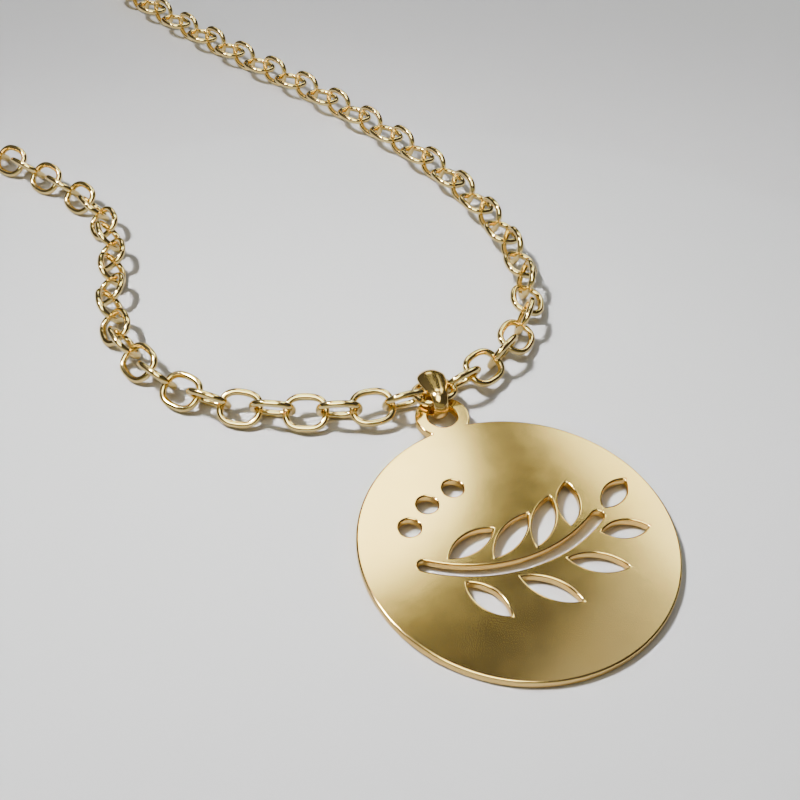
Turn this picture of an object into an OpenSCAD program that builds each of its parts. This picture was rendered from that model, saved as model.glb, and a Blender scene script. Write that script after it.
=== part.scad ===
// Pendant necklace lying on a flat surface: a pierced round plate on a cable chain.
// The plate's centre is the start of all plan sizes, with +Y to the back of the surface.

/* [Plate] */
// Diameter of the round plate
disc_d = 25; // [24.5:0.25:25.5]
// Thickness of the plate and of its eyelet
plate_t = 0.75; // [0.7:0.01:0.8]
// Rounding of the outer edges
edge_r = 0.12; // [0.08:0.01:0.2]
// Outer diameter of the eyelet
eyelet_d = 4.7; // [4.6:0.05:4.8]
// Hole of the eyelet
eyelet_hole_d = 2.5; // [2.4:0.05:2.6]
// How far the eyelet's centre lies outside the rim
eyelet_out = 1.5; // [1.45:0.05:1.6]

/* [Pierced sprig] */
// Width of the curved stem slot
stem_w = 0.95; // [0.8:0.05:1.1]
// Radius of the stem's curve
stem_r = 13; // [12.5:0.25:13.5]
// Height of the stem's lowest point above the plate's centre
stem_y = -2.3; // [-2.6:0.1:-2]
// Width of a leaf opening
leaf_w = 1.7; // [1.5:0.05:1.8]
// Metal left between a leaf and the stem
web = 0.6; // [0.5:0.05:0.7]

/* [Bail] */
// Width of the bail at its widest, near the back end
bail_w = 2.6; // [2.5:0.05:2.65]
// Width of the bail where it passes through the eyelet
bail_foot_w = 1.3; // [1.2:0.05:1.4]
// Thickness of the band along its middle
bail_t = 0.37; // [0.35:0.01:0.38]
// Thickness of the band at its edges
bail_edge_t = 0.14; // [0.12:0.01:0.16]

/* [Chain] */
// Diameter of the link wire
wire_d = 0.5; // [0.48:0.01:0.52]
// Outer width of a link
link_w = 3.5; // [3.45:0.05:3.6]
// Spacing of the links that the loop is divided by
link_step = 2.83; // [2.8:0.01:2.9]
// Play between two links along the chain
link_play = 0.2; // [0.19:0.01:0.22]
// Radius of the chain's turn at the back of the neck
back_r = 44; // [42:1:46]

/* [Clasp] */
// Wire of the clasp's ring
ring_wire_d = 1; // [0.9:0.05:1.1]
// Outer diameter of the clasp's ring
ring_d = 5.8; // [5.6:0.1:6.2]
// Wire of the clasp's small eye
eye_wire_d = 0.6; // [0.55:0.05:0.65]
// Outer diameter of the clasp's small eye
eye_d = 2.6; // [2.5:0.1:2.8]

/* [Hidden] */
gold = "#c9a65a";
fine = 40;
cut = 1;

// Plan directions, in degrees from +X: of the eyelet, of the bail and of the chain at the bail.
eyelet_dir = 114.7;
bail_dir = 106;
chain_dir = 30;

// The chain's route in arcs, outward from the bail: length in mm and turn to the left in degrees.
ROW_LEN = 0;
ROW_TURN = 1;
right_rows = [
    [8, 24], [8, 29], [8, 22], [8, 12],
    [10, 10], [12, 7], [16, 6], [28, -6], [16, -20]
];
left_rows = [
    [8, -24], [8, -11], [8, -29], [8, -25],
    [8, -24], [8, 12], [10, 33], [14, 7], [16, 20]
];

// Leaves of the sprig: angle on the stem's circle, side of the stem, length and lean to the stem.
LEAF_AT = 0;
LEAF_SIDE = 1;
LEAF_LEN = 2;
LEAF_LEAN = 3;
leaves = [
    [-119, 1, 4.6, 46], [-102, 1, 5.2, 46], [-85, 1, 5.2, 46], [-68, 1, 4.4, 44],
    [-113, -1, 4.2, 42], [-96, -1, 4.8, 42], [-79, -1, 4.6, 42], [-63, -1, 3.8, 40]
];
stem_from = -127;
stem_to = -58;
tip_leaf_len = 3.6;
// Berries: place and diameter.
berries = [[-7.4, 4, 1.7], [-5.2, 5.6, 1.7], [-2.6, 6.4, 1.7]];

// Gaps at the bail, from the bottom up: lower band to eyelet bar, bar to link, link to upper band.
under_bar = 0.24;
over_bar = 0.3;
over_link = 0.49;
// Gaps along the bail's inside: in front of the bar, and behind the link.
before_bar = 0.9;
behind_link = 0.43;
// Gap between the clasp and the last link at each end.
clasp_play = 0.14;

// Plate and its slope: the bail's lower band holds up the eyelet's outer bar.
disc_r = disc_d / 2;
eyelet_y = disc_r + eyelet_out;
bar_in = eyelet_hole_d / 2;
bar_out = eyelet_d / 2;
bar_z = bail_t + under_bar;
plate_tilt = asin(bar_z / (disc_r - edge_r + eyelet_y + bar_in * cos(bail_dir - eyelet_dir)));
eyelet_at = eyelet_y * [cos(eyelet_dir), sin(eyelet_dir)];
bar_top = plate_t + (2 * disc_r + eyelet_out + bar_out) * sin(plate_tilt);

// Link in the bail: its front wire lies on the bar, its back wire lower.
hang_roll = -9;
hang_reach = 2.62;
bend_r = (link_w - wire_d) / 2;
hang_front_z = bar_top + over_bar + wire_d / 2;
hang_z = hang_front_z - bend_r * sin(-hang_roll);
hang_at = eyelet_at + hang_reach * [cos(bail_dir), sin(bail_dir)];

// Height of the centre of a link that lies on the surface, and the roll of the links at the back.
function lying_z(roll) = bend_r * sin(abs(roll)) + wire_d / 2;
rest_roll = 45;
rest_z = lying_z(rest_roll);

// Twist of the chain by link number. A flatter link hangs below its steeper neighbours by link_sink.
chain_twist = [[-40, 0], [-12, 8], [0, 22], [20, 37], [45, 37], [60, 0]];
link_sink = 0.35;

// Links near the bail by their count from it: roll about the chain and lift off the surface.
ROLL = 0;
LIFT = 1;
near_bail = [
    [hang_roll, hang_z - lying_z(hang_roll)],
    [-62.4, 0.18],
    [24, 0.74]
];

// Poses [x, y, heading] along rows of arcs.
function arc_step(p, len, turn) =
    let (
        chord = turn == 0 ? len : 2 * len / (turn * PI / 180) * sin(turn / 2),
        along = p[2] + turn / 2
    )
    [p[0] + chord * cos(along), p[1] + chord * sin(along), p[2] + turn];
function rows_end(rows, p, k = 0) =
    k == len(rows) ? p : rows_end(rows, arc_step(p, rows[k][ROW_LEN], rows[k][ROW_TURN]), k + 1);
function rows_len(rows, k = 0) =
    k == len(rows) ? 0 : rows[k][ROW_LEN] + rows_len(rows, k + 1);
function pose_at(rows, p, s, k = 0) =
    k == len(rows) - 1 || s <= rows[k][ROW_LEN]
    ? arc_step(p, s, rows[k][ROW_TURN] * s / rows[k][ROW_LEN])
    : pose_at(
        rows,
        arc_step(p, rows[k][ROW_LEN], rows[k][ROW_TURN]),
        s - rows[k][ROW_LEN],
        k + 1
    );
function backward(rows) =
    [for (k = [len(rows) - 1:-1:0]) [rows[k][ROW_LEN], -rows[k][ROW_TURN]]];

// The loop: right rows, a straight, the turn behind the neck, a straight, and the left rows home.
start = [hang_at[0], hang_at[1], chain_dir];
right_end = rows_end(right_rows, start);
left_end = rows_end(left_rows, [start[0], start[1], chain_dir + 180]);
back_turn = left_end[2] - 180 + 360 - right_end[2];
turn_end = arc_step([0, 0, right_end[2]], back_r * back_turn * PI / 180, back_turn);
gap_x = left_end[0] - right_end[0] - turn_end[0];
gap_y = left_end[1] - right_end[1] - turn_end[1];
out_dir = right_end[2];
home_dir = left_end[2] + 180;
across = sin(home_dir - out_dir);
out_len = (gap_x * sin(home_dir) - gap_y * cos(home_dir)) / across;
home_len = (gap_y * cos(out_dir) - gap_x * sin(out_dir)) / across;
loop_rows = concat(
    right_rows,
    [[out_len, 0], [back_r * back_turn * PI / 180, back_turn], [home_len, 0]],
    backward(left_rows)
);
loop_len = rows_len(loop_rows);

// Clasp sizes, from its far wire on the ring to its far wire on the eye.
ring_r = (ring_d - ring_wire_d) / 2;
eye_r = (eye_d - eye_wire_d) / 2;
eye_off = ring_r + ring_wire_d / 2 + eye_r;
clasp_len = ring_r + eye_off + eye_r;
clasp_tilt = -asin((rest_z - ring_wire_d / 2) / ring_r);

// Number of links each way, their true spacing and their length.
hold_len = clasp_len - (ring_wire_d + eye_wire_d) / 2 + link_play - 2 * clasp_play;
count = 2 * round(((loop_len - hold_len) / link_step - 1) / 2);
pitch = (loop_len - hold_len) / (count + 1);
link_l = round(50 * (pitch + 2 * wire_d + link_play)) / 50;
right_count = 2 * ceil(count / 4);
left_count = count - right_count;
clasp_s = right_count * pitch + (pitch + link_play - ring_wire_d) / 2 - clasp_play;

// Place [x, y, heading], height, roll and slope of link i, counted from the bail, to the left below zero.
function link_pose(i) = pose_at(loop_rows, start, i >= 0 ? i * pitch : loop_len + i * pitch);
function is_near(i) = abs(i) < len(near_bail);
function link_roll(i) =
    is_near(i)
    ? near_bail[abs(i)][ROLL]
    : (i % 2 == 0 ? rest_roll : -rest_roll) - lookup(i, chain_twist);
function link_z(i) =
    is_near(i)
    ? lying_z(link_roll(i)) + near_bail[abs(i)][LIFT]
    : max(lying_z(link_roll(i)), lying_z(rest_roll + lookup(i, chain_twist)) - link_sink);
function link_slope(i) = is_near(i) ? atan((link_z(i + 1) - link_z(i - 1)) / (2 * pitch)) : 0;

// Clasp pose: the straight line between its two far wires.
clasp_from = pose_at(loop_rows, start, clasp_s);
clasp_to = pose_at(loop_rows, start, clasp_s + clasp_len);
clasp_dir = atan2(clasp_to[1] - clasp_from[1], clasp_to[0] - clasp_from[0]);

// Plan extents of each piece along +X (k = 0) and +Y (k = 1), to centre the whole on the origin.
straight_l = link_l - link_w;
function along_axis(dir, k) = k == 0 ? cos(dir) : sin(dir);
function link_reach(i, k) =
    let (
        h = link_pose(i)[2],
        u = along_axis(h, k) * cos(link_slope(i)),
        v = along_axis(h + 90, k) * cos(link_roll(i))
            - along_axis(h, k) * sin(link_roll(i)) * sin(link_slope(i))
    )
    straight_l / 2 * abs(u) + bend_r * sqrt(u * u + v * v) + wire_d / 2;
plate_lean = sin(plate_tilt);
plate_back = (disc_r - edge_r) * (1 - cos(plate_tilt)) + (plate_t / 2 - edge_r) * plate_lean;
function plate_mid(k) = -plate_back * along_axis(eyelet_dir, k);
function plate_reach(k) =
    let (n = plate_lean * along_axis(eyelet_dir, k))
    (disc_r - edge_r) * sqrt(1 - n * n) + (plate_t / 2 - edge_r) * abs(n) + edge_r;
function low_side(k) = min(
    plate_mid(k) - plate_reach(k),
    min([for (i = [-left_count:right_count]) link_pose(i)[k] - link_reach(i, k)])
);
function high_side(k) = max(
    plate_mid(k) + plate_reach(k),
    max([for (i = [-left_count:right_count]) link_pose(i)[k] + link_reach(i, k)])
);
to_origin = [-(low_side(0) + high_side(0)) / 2, -(low_side(1) + high_side(1)) / 2, 0];

// Bail: arcs round the bar and round the link, joined by a level and a sloping leg.
inner_top = hang_front_z + wire_d / 2 + over_link;
front_r = (inner_top - bail_t) / 2;
front_a = bar_in - before_bar + front_r;
back_arc_r = 1.08;
back_a = hang_reach + bend_r + wire_d / 2 + behind_link - back_arc_r;
leg_dir = 90 + 2 * atan2(back_arc_r - front_r, back_a - front_a);
bail_a0 = front_a - front_r;
bail_a1 = back_a + back_arc_r;
arc_n = 12;
leg_n = 5;
half_n = 4;
// Widest place along the bail, and how far its back end is drawn in.
widest = 0.89;
draw_in = 0.67;
function bail_half_w(a) =
    let (
        u = min(1, max(0, (a - bail_a0) / (bail_a1 - bail_a0))),
        v = min(1, u / widest),
        r = max(0, u - widest) / (1 - widest) * draw_in
    )
    (bail_foot_w + (bail_w - bail_foot_w) * v * v * (3 - 2 * v)) / 2 * sqrt(1 - r * r);
function on_circle(a, z, r, dir) = [a + r * cos(dir), z + r * sin(dir), dir];
function between(p, q, t) = p + (q - p) * t;
bail_path = concat(
    [for (k = [0:arc_n]) on_circle(front_a, bail_t + front_r, front_r, between(leg_dir, 270, k / arc_n))],
    [for (k = [1:leg_n - 1]) [between(front_a, back_a, k / leg_n), bail_t, 270]],
    [for (k = [0:arc_n]) on_circle(back_a, bail_t + back_arc_r, back_arc_r,
        between(270, 360 + leg_dir, k / arc_n))],
    [for (k = [1:leg_n - 1]) between(
        on_circle(back_a, bail_t + back_arc_r, back_arc_r, leg_dir),
        on_circle(front_a, bail_t + front_r, front_r, leg_dir),
        k / leg_n
    )]
);
function dome(u) = bail_edge_t + (bail_t - bail_edge_t) * (1 - u * u);
bail_ring = concat(
    [for (k = [-half_n:half_n]) [k / half_n, dome(k / half_n)]],
    [[1, 0], [0, 0], [-1, 0]]
);
bail_points = [
    for (p = bail_path, q = bail_ring)
    [p[0] + q[1] * cos(p[2]), q[0] * bail_half_w(p[0]), p[1] + q[1] * sin(p[2])]
];
rings = len(bail_path);
sides = len(bail_ring);
function corner(i, j) = (i % rings) * sides + j % sides;
bail_faces = [
    for (i = [0:rings - 1], j = [0:sides - 1], half = [0, 1])
    half == 0
    ? [corner(i, j), corner(i + 1, j), corner(i + 1, j + 1)]
    : [corner(i, j), corner(i + 1, j + 1), corner(i, j + 1)]
];

module round_plate(r) {
    rotate_extrude($fn = 3 * fine) {
        square([r - edge_r, plate_t]);
        translate([0, edge_r]) square([r, plate_t - 2 * edge_r]);
        for (y = [edge_r, plate_t - edge_r]) {
            translate([r - edge_r, y]) circle(edge_r, $fn = fine);
        }
    }
}

// A slot along an arc about the stem's centre, with round ends.
module arc_slot(r, from, to, w) {
    rotate([0, 0, from]) rotate_extrude(angle = to - from, $fn = 3 * fine) {
        translate([r - w / 2, -cut]) square([w, plate_t + 2 * cut]);
    }
    for (dir = [from, to]) {
        rotate([0, 0, dir]) translate([r, 0, -cut]) {
            cylinder(d = w, h = plate_t + 2 * cut, $fn = fine);
        }
    }
}

// A leaf opening that points along +X from the origin.
module leaf(len) {
    curve_r = (len * len + leaf_w * leaf_w) / leaf_w / 4;
    intersection_for(side = [-1, 1]) {
        translate([len / 2, side * (curve_r - leaf_w / 2), -cut]) {
            cylinder(r = curve_r, h = plate_t + 2 * cut, $fn = 5 * fine);
        }
    }
}

module sprig() {
    root_r = stem_w / 2 + web;
    translate([0, stem_y + stem_r]) {
        arc_slot(stem_r, stem_from, stem_to, stem_w);
        for (row = leaves) {
            rotate([0, 0, row[LEAF_AT]]) translate([stem_r - row[LEAF_SIDE] * root_r, 0]) {
                rotate([0, 0, 90 + row[LEAF_SIDE] * row[LEAF_LEAN]]) leaf(row[LEAF_LEN]);
            }
        }
        rotate([0, 0, stem_to]) translate([stem_r, root_r]) rotate([0, 0, 90]) leaf(tip_leaf_len);
    }
    for (row = berries) {
        translate([row[0], row[1], -cut]) cylinder(d = row[2], h = plate_t + 2 * cut, $fn = fine);
    }
}

module pendant_disc() {
    color(gold)
    translate(to_origin)
    rotate([0, 0, eyelet_dir - 90])
    translate([0, edge_r - disc_r, edge_r])
    rotate([plate_tilt, 0, 0])
    translate([0, disc_r - edge_r, -edge_r])
    difference() {
        union() {
            round_plate(disc_r);
            translate([0, eyelet_y]) round_plate(bar_out);
        }
        translate([0, eyelet_y, -cut]) {
            cylinder(d = eyelet_hole_d, h = plate_t + 2 * cut, $fn = fine);
        }
        sprig();
    }
}

module bail() {
    color(gold)
    translate(to_origin + [eyelet_at[0], eyelet_at[1], 0])
    rotate([0, 0, bail_dir])
    polyhedron(points = bail_points, faces = bail_faces);
}

// One oval link about the origin, long along X and flat in the XY plane.
module link() {
    for (side = [-1, 1]) {
        translate([side * straight_l / 2, 0]) rotate([0, 0, -side * 90]) {
            rotate_extrude(angle = 180, $fn = fine) {
                translate([bend_r, 0]) circle(d = wire_d, $fn = fine);
            }
        }
        translate([-straight_l / 2, side * bend_r]) rotate([0, 90, 0]) {
            cylinder(d = wire_d, h = straight_l, $fn = fine);
        }
    }
}

module links(from, to) {
    for (i = [from:to]) {
        p = link_pose(i);
        translate(to_origin + [p[0], p[1], link_z(i)]) rotate([link_roll(i), -link_slope(i), p[2]]) {
            link();
        }
    }
}

module chain_right() {
    color(gold) links(0, right_count);
}

module chain_left() {
    color(gold) links(-left_count, -1);
}

module clasp() {
    color(gold)
    translate(to_origin + [clasp_from[0], clasp_from[1], rest_z])
    rotate([clasp_tilt, 0, clasp_dir])
    translate([ring_r, 0]) {
        rotate_extrude($fn = 2 * fine) translate([ring_r, 0]) circle(d = ring_wire_d, $fn = fine);
        translate([eye_off, 0]) {
            rotate_extrude($fn = fine) translate([eye_r, 0]) circle(d = eye_wire_d, $fn = fine);
        }
    }
}

pendant_disc();
bail();
chain_right();
chain_left();
clasp();
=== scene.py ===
import math

import bmesh
import bpy
import numpy as np
from mathutils import Matrix, Vector


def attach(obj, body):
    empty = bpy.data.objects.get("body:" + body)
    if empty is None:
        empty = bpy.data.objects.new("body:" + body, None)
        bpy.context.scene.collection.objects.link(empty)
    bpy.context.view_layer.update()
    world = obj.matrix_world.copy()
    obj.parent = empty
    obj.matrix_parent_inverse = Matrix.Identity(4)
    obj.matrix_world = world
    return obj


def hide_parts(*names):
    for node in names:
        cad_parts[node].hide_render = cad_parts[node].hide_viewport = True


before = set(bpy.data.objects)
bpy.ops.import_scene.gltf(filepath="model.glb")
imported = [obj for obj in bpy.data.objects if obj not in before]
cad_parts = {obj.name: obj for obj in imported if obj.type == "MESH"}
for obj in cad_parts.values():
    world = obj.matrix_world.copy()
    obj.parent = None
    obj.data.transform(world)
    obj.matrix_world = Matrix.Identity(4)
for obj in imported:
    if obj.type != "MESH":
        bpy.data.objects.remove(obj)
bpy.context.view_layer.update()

# Everything is in metres, in the frame of the solids: Z up from the surface, Y to the back.
MM = 0.001

# Plate, as in the solids. Its lowest rim rests on the surface and the bail holds up its eyelet.
# RIM_R is the solid's rounding, on which the plate tilts, and RIM_ROUND the rounding shown here.
PLATE_R = 12.5 * MM
PLATE_T = 0.75 * MM
EYELET_R = 2.35 * MM
EYELET_HOLE_R = 1.25 * MM
EYELET_Y = 14.0 * MM
EYELET_DIR = math.radians(114.7)
PLATE_TILT = math.radians(1.26571)
PLATE_AT = Vector((69.373 * MM, -71.1865 * MM, 0))
RIM_R = 0.12 * MM
RIM_ROUND = 0.16 * MM
RIM_STEPS = 4

# Sprig cut through the plate. Each leaf has its angle on the stem's circle, its side, its length in
# millimetres and its lean in degrees. Each berry has its place and its size across in millimetres.
STEM_W = 0.95 * MM
STEM_R = 13.0 * MM
STEM_Y = -2.3 * MM
STEM_FROM = -127
STEM_TO = -58
LEAF_W = 1.7 * MM
WEB = 0.6 * MM
LEAVES = [
    (-119, 1, 4.6, 46), (-102, 1, 5.2, 46), (-85, 1, 5.2, 46), (-68, 1, 4.4, 44),
    (-113, -1, 4.2, 42), (-96, -1, 4.8, 42), (-79, -1, 4.6, 42), (-63, -1, 3.8, 40),
]
TIP_LEAF = 3.6
BERRIES = [(-7.4, 4.0, 1.7), (-5.2, 5.6, 1.7), (-2.6, 6.4, 1.7)]

# Straight pieces in each arc of the plate's lines.
PLATE_STEPS = 220
EYELET_STEPS = 72
EYELET_HOLE_STEPS = 48
STEM_STEPS = 60
STEM_END_STEPS = 14
LEAF_STEPS = 20
BERRY_STEPS = 36

# Bail, in its own frame along the direction away from the plate: places and radii of its two arcs,
# the stretch over which its width changes, half widths at its foot and shoulders, the share of the
# stretch where it is widest, how far it draws in behind, its thickness in the middle and at the
# edges, and the hollow of its inside.
BAIL_DIR = math.radians(106)
BAIL_FRONT = 1.50363 * MM
BAIL_FRONT_R = 1.15363 * MM
BAIL_BACK = 3.72 * MM
BAIL_BACK_R = 1.08 * MM
BAIL_FROM = 0.35 * MM
BAIL_TO = 4.8 * MM
BAIL_FOOT = 0.65 * MM
BAIL_WIDE = 1.3 * MM
BAIL_WIDEST = 0.74
BAIL_DRAWN = 0.93
BAIL_T = 0.37 * MM
BAIL_EDGE_T = 0.14 * MM
BAIL_DROOP = 0.25 * MM
BAIL_ARC_STEPS = 14
BAIL_LEG_STEPS = 5
BAIL_ACROSS_OUT = (-1.0, -0.94, -0.78, -0.52, -0.2, 0.2, 0.52, 0.78, 0.94, 1.0)
BAIL_ACROSS_IN = (0.9, 0.5, 0.0, -0.5, -0.9)

# Chain link: its wire and outer size, the rounds of wire along it, and the power of its oval,
# where 2 gives an ellipse and more gives fuller corners.
WIRE_R = 0.31 * MM
WIRE_SIDES = 12
LINK_L = 4.04 * MM
LINK_W = 3.5 * MM
LINK_STEPS = 52
LINK_POWER = 2.6

# Camera at the photo's angle: its place from the plate's middle, how far it looks down, its roll.
CAMERA_OVER = (-9.50 * MM, -52.91 * MM, 66.10 * MM)
CAMERA_DOWN = math.radians(43.877)
CAMERA_ROLL = math.radians(2.157)
CAMERA_LENS = 48.70

# Lights: distances from the pendant, then the key's direction, width and spread in degrees and the
# shift of its pool of light. The wide lamp stands in the same direction and has the same width.
CARD_AWAY = 1.2
KEY_AWAY = 0.4
WIDE_AWAY = 2.4
KEY_FROM = (-78, 58)
KEY_WIDTH = 7
KEY_SPREAD = 24.4
KEY_OVER = (-13 * MM, 12 * MM, 0)
FLOOR_HALF = 1.5


# Shader helpers


class Socket:
    """Wraps an output socket so that sums and products of values add their Math nodes."""

    def __init__(self, tree, out):
        self.tree = tree
        self.out = out

    def math(self, operation, a, b):
        node = self.tree.nodes.new("ShaderNodeMath")
        node.operation = operation
        for k, value in enumerate((a, b)):
            if isinstance(value, Socket):
                self.tree.links.new(value.out, node.inputs[k])
            else:
                node.inputs[k].default_value = value
        return Socket(self.tree, node.outputs[0])

    def __add__(self, other):
        return self.math("ADD", self, other)

    def __radd__(self, other):
        return self.math("ADD", other, self)

    def __mul__(self, other):
        return self.math("MULTIPLY", self, other)

    def __rmul__(self, other):
        return self.math("MULTIPLY", other, self)


class Finish:
    """A material whose nodes are added one call at a time."""

    def __init__(self, name):
        self.material = bpy.data.materials.new(name)
        self.material.use_nodes = True
        self.tree = self.material.node_tree
        self.tree.nodes.clear()

    def add(self, kind, settings=None, **inputs):
        node = self.tree.nodes.new(kind)
        for key, value in (settings or {}).items():
            setattr(node, key, value)
        for key, value in inputs.items():
            slot = node.inputs[key.replace("_", " ")]
            if isinstance(value, Socket):
                self.tree.links.new(value.out, slot)
            else:
                slot.default_value = value
        return node

    def value(self, kind, settings=None, output=0, **inputs):
        return Socket(self.tree, self.add(kind, settings, **inputs).outputs[output])

    def coordinates(self, scale=(1, 1, 1), turn=0.0):
        place = self.value("ShaderNodeTexCoord", output="Object")
        return self.value("ShaderNodeMapping", Vector=place, Scale=scale, Rotation=(0, 0, turn))

    def noise(self, where, scale, detail=3.0, roughness=0.5):
        return self.value(
            "ShaderNodeTexNoise",
            output="Fac",
            Vector=where,
            Scale=scale,
            Detail=detail,
            Roughness=roughness,
        )

    def mask(self, value, low, high):
        """0 up to the low value, 1 from the high value on."""
        return self.value(
            "ShaderNodeMapRange", {"clamp": True}, Value=value, From_Min=low, From_Max=high
        )

    def blend(self, factor, first, second):
        """Mixes two colours. Inputs 6 and 7 and output 2 are a Mix node's colour sockets."""
        node = self.add("ShaderNodeMix", {"data_type": "RGBA"})
        for k, value in ((0, factor), (6, first), (7, second)):
            if isinstance(value, Socket):
                self.tree.links.new(value.out, node.inputs[k])
            else:
                node.inputs[k].default_value = value
        return Socket(self.tree, node.outputs[2])

    def surface(self, **inputs):
        shader = self.add("ShaderNodeBsdfPrincipled", **inputs)
        output = self.add("ShaderNodeOutputMaterial")
        self.tree.links.new(shader.outputs[0], output.inputs[0])
        return self.material


# Finishes


def polished_gold(name, deep, pale, gloss, turn=0.0):
    """Polished gold-coloured metal: faint colour clouds, hairline scratches and tiny dings."""
    f = Finish(name)
    place = f.coordinates()
    clouds = f.noise(place, 120.0)
    tint = f.blend(f.mask(clouds, 0.3, 0.7), deep, pale)
    hairs = f.noise(f.coordinates((1.0, 26.0, 1.0), turn), 900.0, 2.0, 0.6)
    cross = f.noise(f.coordinates((30.0, 1.0, 1.0), turn + 0.6), 700.0, 2.0, 0.6)
    scratch = f.mask(hairs, 0.62, 0.72) + f.mask(cross, 0.66, 0.74)
    smudge = f.noise(place, 520.0, 3.0, 0.6)
    rough = gloss + 0.02 * f.mask(smudge, 0.35, 0.7) + 0.03 * scratch
    dings = f.noise(place, 3200.0, 2.0)
    height = scratch * 0.5 + f.mask(dings, 0.6, 0.8)
    bump = f.value(
        "ShaderNodeBump", output="Normal", Height=height, Strength=0.05, Distance=0.004 * MM
    )
    return f.surface(Base_Color=tint, Metallic=1.0, Roughness=rough, Normal=bump)


def pale_floor():
    """Matt pale surface with a faint grain."""
    f = Finish("pale_floor")
    grain = f.mask(f.noise(f.coordinates(), 30.0), 0.3, 0.7)
    tint = f.blend(grain, (0.74, 0.74, 0.745, 1), (0.76, 0.76, 0.765, 1))
    return f.surface(Base_Color=tint, Roughness=0.62)


# Mesh helpers


def mesh_from(name, bm):
    """Turns a bmesh into a mesh and frees it."""
    mesh = bpy.data.meshes.new(name)
    bm.to_mesh(mesh)
    bm.free()
    return mesh


def piece_from(name, bm, material, node):
    """Makes a finished smooth piece of a bmesh, in place of one CAD node."""
    mesh = mesh_from(name, bm)
    if "custom_normal" in mesh.attributes:
        mesh.attributes.remove(mesh.attributes["custom_normal"])
    mesh.materials.append(material)
    for face in mesh.polygons:
        face.use_smooth = True
    piece = bpy.data.objects.new(name, mesh)
    bpy.context.scene.collection.objects.link(piece)
    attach(piece, "root")
    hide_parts(node)
    return piece


def rounded(piece, levels):
    """Adds a Subdivision Surface, the same in the view and in the render."""
    finish = piece.modifiers.new("rounding", "SUBSURF")
    finish.levels = levels
    finish.render_levels = levels


def merged_copy(node):
    """The mesh of a CAD node with its loose triangles merged, as a bmesh."""
    bm = bmesh.new()
    bm.from_mesh(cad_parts[node].data)
    bmesh.ops.remove_doubles(bm, verts=bm.verts, dist=1e-7)
    return bm


def islands(bm):
    """The vertices of each loose part."""
    seen = set()
    for first in bm.verts:
        if first in seen:
            continue
        seen.add(first)
        part = [first]
        for vert in part:
            for edge in vert.link_edges:
                other = edge.other_vert(vert)
                if other not in seen:
                    seen.add(other)
                    part.append(other)
        yield part


# Pendant


def arc(centre, radius, start, end, steps):
    """Points on an arc from angle start to angle end, in degrees, with both ends."""
    for k in range(steps + 1):
        a = math.radians(start + (end - start) * k / steps)
        yield Vector((centre[0] + radius * math.cos(a), centre[1] + radius * math.sin(a), 0))


def plate_outline():
    """The round plate with its eyelet as one closed line."""
    reach = (PLATE_R ** 2 - EYELET_R ** 2 + EYELET_Y ** 2) / (2 * EYELET_Y)
    half_plate = math.degrees(math.acos(reach / PLATE_R))
    half_eyelet = math.degrees(math.acos((EYELET_Y - reach) / EYELET_R))
    points = list(arc((0, 0), PLATE_R, 90 + half_plate, 450 - half_plate, PLATE_STEPS))
    eyelet = arc((0, EYELET_Y), EYELET_R, -90 + half_eyelet, 270 - half_eyelet, EYELET_STEPS)
    return points + list(eyelet)[1:-1]


def leaf_outline(length):
    """A leaf opening along +X from the origin: two arcs that meet in points."""
    radius = (length * length + LEAF_W * LEAF_W) / LEAF_W / 4
    half = math.degrees(math.asin(length / 2 / radius))
    drop = radius - LEAF_W / 2
    points = list(arc((length / 2, drop), radius, -90 - half, -90 + half, LEAF_STEPS))
    points += list(arc((length / 2, -drop), radius, 90 - half, 90 + half, LEAF_STEPS))[1:-1]
    return points


def turned(points, angle, shift=(0, 0)):
    """The points shifted, then turned about the origin."""
    turn = Matrix.Rotation(math.radians(angle), 4, "Z")
    return [turn @ (p + Vector((shift[0], shift[1], 0))) for p in points]


def sprig_outlines():
    """Closed lines of the stem, its leaves, the leaf at its tip and the berries."""
    centre = Vector((0, STEM_Y + STEM_R, 0))
    root = STEM_W / 2 + WEB
    near, far = STEM_R - STEM_W / 2, STEM_R + STEM_W / 2
    first, last = [turned([Vector((STEM_R, 0, 0))], a)[0] for a in (STEM_FROM, STEM_TO)]
    last_end = arc(last, STEM_W / 2, STEM_TO, STEM_TO + 180, STEM_END_STEPS)
    first_end = arc(first, STEM_W / 2, STEM_FROM + 180, STEM_FROM + 360, STEM_END_STEPS)
    stem = list(arc((0, 0), far, STEM_FROM, STEM_TO, STEM_STEPS)) + list(last_end)[1:-1]
    stem += list(arc((0, 0), near, STEM_TO, STEM_FROM, STEM_STEPS)) + list(first_end)[1:-1]
    outlines = [stem]
    for at, side, length, lean in LEAVES:
        leaf = turned(leaf_outline(length * MM), 90 + side * lean)
        outlines.append(turned(leaf, at, (STEM_R - side * root, 0)))
    tip = turned(leaf_outline(TIP_LEAF * MM), 90)
    outlines.append(turned(tip, STEM_TO, (STEM_R, root)))
    outlines = [[p + centre for p in line] for line in outlines]
    for x, y, d in BERRIES:
        outlines.append(list(arc((x * MM, y * MM), d * MM / 2, 0, 360, BERRY_STEPS))[:-1])
    return outlines


def plate_pose():
    """From the plate's frame to its place: tilted about its lowest rim, turned to its eyelet."""
    turn = Matrix.Rotation(EYELET_DIR - math.pi / 2, 4, "Z")
    down = Matrix.Translation((0, RIM_R - PLATE_R, RIM_R))
    tilt = Matrix.Rotation(PLATE_TILT, 4, "X")
    back = Matrix.Translation((0, PLATE_R - RIM_R, -RIM_R))
    return Matrix.Translation(PLATE_AT) @ turn @ down @ tilt @ back


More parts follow.
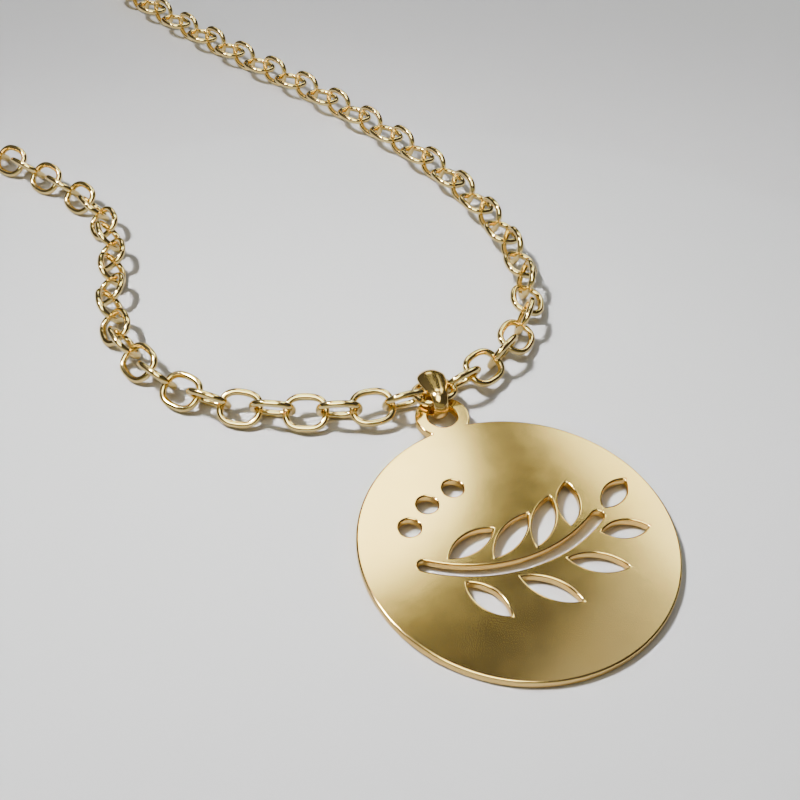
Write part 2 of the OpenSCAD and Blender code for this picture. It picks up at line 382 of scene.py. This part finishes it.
def pendant_plate(material):
    """Pierced plate: a flat curve with holes, thick and with rounded rims, made a mesh."""
    curve = bpy.data.curves.new("pendant_plate", "CURVE")
    curve.dimensions = "2D"
    curve.fill_mode = "BOTH"
    curve.extrude = PLATE_T / 2 - RIM_ROUND
    curve.bevel_depth = RIM_ROUND
    curve.bevel_resolution = RIM_STEPS
    curve.offset = -RIM_ROUND
    eyelet_hole = list(arc((0, EYELET_Y), EYELET_HOLE_R, 0, 360, EYELET_HOLE_STEPS))[:-1]
    for outline in [plate_outline(), eyelet_hole] + sprig_outlines():
        spline = curve.splines.new("POLY")
        spline.points.add(len(outline) - 1)
        for point, place in zip(spline.points, outline):
            point.co = (place.x, place.y, 0, 1)
        spline.use_cyclic_u = True
    drawn = bpy.data.objects.new("plate_curve", curve)
    bpy.context.scene.collection.objects.link(drawn)
    bpy.context.view_layer.update()
    depsgraph = bpy.context.evaluated_depsgraph_get()
    mesh = bpy.data.meshes.new_from_object(drawn.evaluated_get(depsgraph))
    bpy.data.objects.remove(drawn)
    bpy.data.curves.remove(curve)
    bm = bmesh.new()
    bm.from_mesh(mesh)
    bpy.data.meshes.remove(mesh)
    bmesh.ops.remove_doubles(bm, verts=bm.verts, dist=1e-8)
    bmesh.ops.recalc_face_normals(bm, faces=bm.faces)
    # A sharp edge where a flat face meets a rounded rim keeps the flat face flat in its shading.
    for edge in bm.edges:
        flat = [abs(face.normal.z) > 0.9999 for face in edge.link_faces]
        edge.smooth = len(flat) == 2 and flat[0] == flat[1]
    bmesh.ops.translate(bm, verts=bm.verts, vec=(0, 0, PLATE_T / 2))
    bmesh.ops.transform(bm, matrix=plate_pose(), verts=bm.verts)
    piece_from("pendant_plate", bm, material, "pendant_disc")


# Bail


def bail_half_width(along):
    """Half the band's width: grows from the foot to the shoulders and rounds off behind them."""
    u = min(1.0, max(0.0, (along - BAIL_FROM) / (BAIL_TO - BAIL_FROM)))
    v = min(1.0, u / BAIL_WIDEST)
    back = max(0.0, u - BAIL_WIDEST) / (1 - BAIL_WIDEST) * BAIL_DRAWN
    grown = BAIL_FOOT + (BAIL_WIDE - BAIL_FOOT) * v * v * (3 - 2 * v)
    return grown * math.sqrt(1 - back * back)


def bail_path():
    """Places along the band's inside with the outward direction at each: two arcs and two legs."""
    lean = math.pi / 2 + 2 * math.atan2(BAIL_BACK_R - BAIL_FRONT_R, BAIL_BACK - BAIL_FRONT)
    down = 1.5 * math.pi

    def bend(x, r, start, end):
        for k in range(BAIL_ARC_STEPS + 1):
            a = start + (end - start) * k / BAIL_ARC_STEPS
            yield x + r * math.cos(a), BAIL_T + r + r * math.sin(a), a

    def leg(start, end, facing):
        for k in range(1, BAIL_LEG_STEPS):
            x, z = [start[i] + (end[i] - start[i]) * k / BAIL_LEG_STEPS for i in (0, 1)]
            yield x, z, facing

    front = list(bend(BAIL_FRONT, BAIL_FRONT_R, lean, down))
    back = list(bend(BAIL_BACK, BAIL_BACK_R, down, math.tau + lean))
    return front + list(leg(front[-1], back[0], down)) + back + list(leg(back[-1], front[0], lean))


def bail_section(half_width):
    """Across the band: a domed outside with soft edges over a hollowed inside."""
    droop = BAIL_DROOP * (half_width / BAIL_WIDE) ** 2
    outside = []
    for u in BAIL_ACROSS_OUT:
        thick = BAIL_EDGE_T + (BAIL_T - BAIL_EDGE_T) * (1 - u * u)
        if abs(u) == 1.0:
            thick = BAIL_EDGE_T / 2
        outside.append((u * half_width, thick - droop * u * u))
    inside = [(u * half_width, -droop * u * u) for u in BAIL_ACROSS_IN]
    return outside + inside


def loft(rings):
    """A closed tube through rings of points, each bridged to the next and the last to the first."""
    bm = bmesh.new()
    loops = []
    for ring in rings:
        verts = [bm.verts.new(place) for place in ring]
        loops.append([bm.edges.new((verts[k - 1], vert)) for k, vert in enumerate(verts)])
    for loop, following in zip(loops, loops[1:] + loops[:1]):
        bmesh.ops.bridge_loops(bm, edges=loop + following)
    bmesh.ops.recalc_face_normals(bm, faces=bm.faces)
    return bm


def folded_bail(material):
    """The folded band, one closed loop through its sections."""
    rings = []
    for along, high, facing in bail_path():
        section = bail_section(bail_half_width(along))
        out = Vector((math.cos(facing), 0, math.sin(facing)))
        rings.append([Vector((along, across, high)) + out * thick for across, thick in section])
    bm = loft(rings)
    turn = Matrix.Rotation(BAIL_DIR, 4, "Z")
    eyelet = Vector((math.cos(EYELET_DIR), math.sin(EYELET_DIR), 0)) * EYELET_Y
    bmesh.ops.transform(bm, matrix=Matrix.Translation(PLATE_AT + eyelet) @ turn, verts=bm.verts)
    rounded(piece_from("folded_bail", bm, material, "bail"), 2)


# Chain


def wire_place(turn):
    """Place and facing of one round of wire, at an angle about the link's middle."""
    half_l, half_w = LINK_L / 2 - WIRE_R, LINK_W / 2 - WIRE_R
    x, y = math.cos(turn), math.sin(turn)
    reach = (abs(x / half_l) ** LINK_POWER + abs(y / half_w) ** LINK_POWER) ** (-1 / LINK_POWER)
    x, y = x * reach, y * reach
    out_x = math.copysign(abs(x / half_l) ** (LINK_POWER - 1) / half_l, x)
    out_y = math.copysign(abs(y / half_w) ** (LINK_POWER - 1) / half_w, y)
    out, up = Vector((out_x, out_y, 0)).normalized(), Vector((0, 0, 1))
    place = Matrix((out, up, out.cross(up))).transposed().to_4x4()
    place.translation = (x, y, 0)
    return place


def link_mesh():
    """An oval link with soft corners: a round of wire extruded along a superellipse."""
    bm = bmesh.new()
    verts = bmesh.ops.create_circle(bm, segments=WIRE_SIDES, radius=WIRE_R)["verts"]
    edges = bm.edges[:]
    place = wire_place(0)
    bmesh.ops.transform(bm, matrix=place, verts=verts)
    for k in range(1, LINK_STEPS):
        grown = bmesh.ops.extrude_edge_only(bm, edges=edges)["geom"]
        verts = [g for g in grown if isinstance(g, bmesh.types.BMVert)]
        edges = [g for g in grown if isinstance(g, bmesh.types.BMEdge)]
        edges = [edge for edge in edges if all(vert in verts for vert in edge.verts)]
        following = wire_place(math.tau * k / LINK_STEPS)
        bmesh.ops.transform(bm, matrix=following @ place.inverted(), verts=verts)
        place = following
    bmesh.ops.bridge_loops(bm, edges=[e for e in bm.edges if e.is_boundary])
    bmesh.ops.recalc_face_normals(bm, faces=bm.faces)
    return mesh_from("link", bm)


def link_pose(part):
    """Place and turn of one link of the solids, from how its vertices lie about their middle."""
    points = np.array([vert.co for vert in part])
    middle = points.mean(axis=0)
    spread = np.linalg.eigh(np.cov((points - middle).T))[1]
    lying = (points - middle) @ spread
    middle = middle + spread @ ((lying.max(axis=0) + lying.min(axis=0)) / 2)
    along, across = Vector(spread[:, 2]), Vector(spread[:, 1])
    pose = Matrix((along, across, along.cross(across))).transposed().to_4x4()
    pose.translation = Vector(middle)
    return pose


def chain(name, node, material):
    """One side of the cable chain: the link at the place of every link of the solid."""
    shape = link_mesh()
    source = merged_copy(node)
    bm = bmesh.new()
    for part in islands(source):
        before = len(bm.verts)
        bm.from_mesh(shape)
        bm.verts.ensure_lookup_table()
        bmesh.ops.transform(bm, matrix=link_pose(part), verts=bm.verts[before:])
    source.free()
    bpy.data.meshes.remove(shape)
    piece_from(name, bm, material, node)


# Clasp


def plain_clasp(material):
    """Ring and eye, soldered: the solid's own form, smooth."""
    piece_from("plain_clasp", merged_copy("clasp"), material, "clasp")


# Studio


def camera():
    """The camera at the photo's viewing angle."""
    data = bpy.data.cameras.new("camera")
    data.sensor_width = 36.0
    data.lens = CAMERA_LENS
    data.clip_start = 2 * MM
    data.clip_end = 10.0
    eye = bpy.data.objects.new("camera", data)
    look = Matrix.Rotation(math.pi / 2 - CAMERA_DOWN, 4, "X")
    pose = look @ Matrix.Rotation(CAMERA_ROLL, 4, "Z")
    pose.translation = PLATE_AT + Vector(CAMERA_OVER)
    eye.matrix_world = pose
    bpy.context.scene.collection.objects.link(eye)
    bpy.context.scene.camera = eye


def soft_light(
    name, azimuth, elevation, width, height, radiance,
    lean=0, colour=(1, 1, 1), oval=False, away=CARD_AWAY,
):
    """A light that faces the pendant, its direction, size and lean in degrees.

    Azimuth 0 lies at the back and 90 at the right."""
    data = bpy.data.lights.new(name, "AREA")
    data.shape = "ELLIPSE" if oval else "RECTANGLE"
    data.size = 2 * away * math.tan(math.radians(width / 2))
    data.size_y = 2 * away * math.tan(math.radians(height / 2))
    data.energy = radiance * data.size * data.size_y * math.pi
    data.color = colour
    a, e = math.radians(azimuth), math.radians(elevation)
    out = Vector((math.sin(a) * math.cos(e), math.cos(a) * math.cos(e), math.sin(e)))
    lamp = bpy.data.objects.new(name, data)
    lamp.location = PLATE_AT + out * away
    facing = out.to_track_quat("Z", "Y").to_matrix()
    leaning = facing @ Matrix.Rotation(math.radians(-lean), 3, "Z")
    lamp.rotation_euler = leaning.to_euler()
    bpy.context.scene.collection.objects.link(lamp)
    return lamp


def reflector_card(*place, **look):
    """A card that shows in the metal alone and adds no light to the surface below."""
    card = soft_light(*place, **look)
    card.visible_diffuse = False
    card.visible_camera = False


def studio():
    """Pale floor, dim surroundings, the cards that show in the metal, the key and the fill."""
    bm = bmesh.new()
    bmesh.ops.create_grid(bm, x_segments=1, y_segments=1, size=FLOOR_HALF)
    mesh = mesh_from("floor", bm)
    mesh.materials.append(pale_floor())
    floor = bpy.data.objects.new("floor", mesh)
    bpy.context.scene.collection.objects.link(floor)
    world = bpy.data.worlds.new("studio")
    world.use_nodes = True
    surroundings = world.node_tree.nodes["Background"].inputs
    surroundings["Color"].default_value = (1.0, 0.95, 0.94, 1)
    surroundings["Strength"].default_value = 0.06
    bpy.context.scene.world = world
    warm, cool = (0.95, 1.0, 0.78), (0.9, 0.95, 1.0)
    reflector_card("back_card", -10, 50.5, 21.6, 13.5, 5.0, colour=warm, oval=True)
    reflector_card("right_card", 28, 45.5, 22, 12, 4.5, lean=26, colour=warm)
    reflector_card("low_left_card", -10, 27, 16, 10, 3.5, colour=warm)
    reflector_card("low_right_card", 24, 33, 12, 18, 3.5, colour=warm)
    reflector_card("top_card", -25, 77, 9, 12, 4.0)
    reflector_card("dim_card", 36, 74, 19, 44, 0.55, colour=cool)
    reflector_card("front_card", -160, 65, 32, 38, 8.0, colour=warm)
    reflector_card("low_front_card", 180, 18, 110, 26, 0.25, colour=warm)
    key = soft_light("key_lamp", *KEY_FROM, KEY_WIDTH, KEY_WIDTH, 6.3, oval=True, away=KEY_AWAY)
    key.data.spread = math.radians(KEY_SPREAD)
    key.location += Vector(KEY_OVER)
    soft_light("wide_lamp", *KEY_FROM, KEY_WIDTH, KEY_WIDTH, 154, oval=True, away=WIDE_AWAY)
    fill = soft_light("sky_fill", 0, 85, 60, 60, 0.42, colour=(0.96, 0.98, 1.0))
    fill.visible_glossy = False


def main():
    camera()
    deep, pale = (0.86, 0.58, 0.18, 1), (0.88, 0.62, 0.22, 1)
    chain_deep, chain_pale = (0.86, 0.64, 0.25, 1), (0.89, 0.69, 0.3, 1)
    plate_gold = polished_gold("plate_gold", deep, pale, gloss=0.12, turn=0.3)
    bail_gold = polished_gold("bail_gold", deep, pale, gloss=0.15)
    chain_gold = polished_gold("chain_gold", chain_deep, chain_pale, gloss=0.12)
    pendant_plate(plate_gold)
    folded_bail(bail_gold)
    chain("chain_right_links", "chain_right", chain_gold)
    chain("chain_left_links", "chain_left", chain_gold)
    plain_clasp(chain_gold)
    studio()


main()
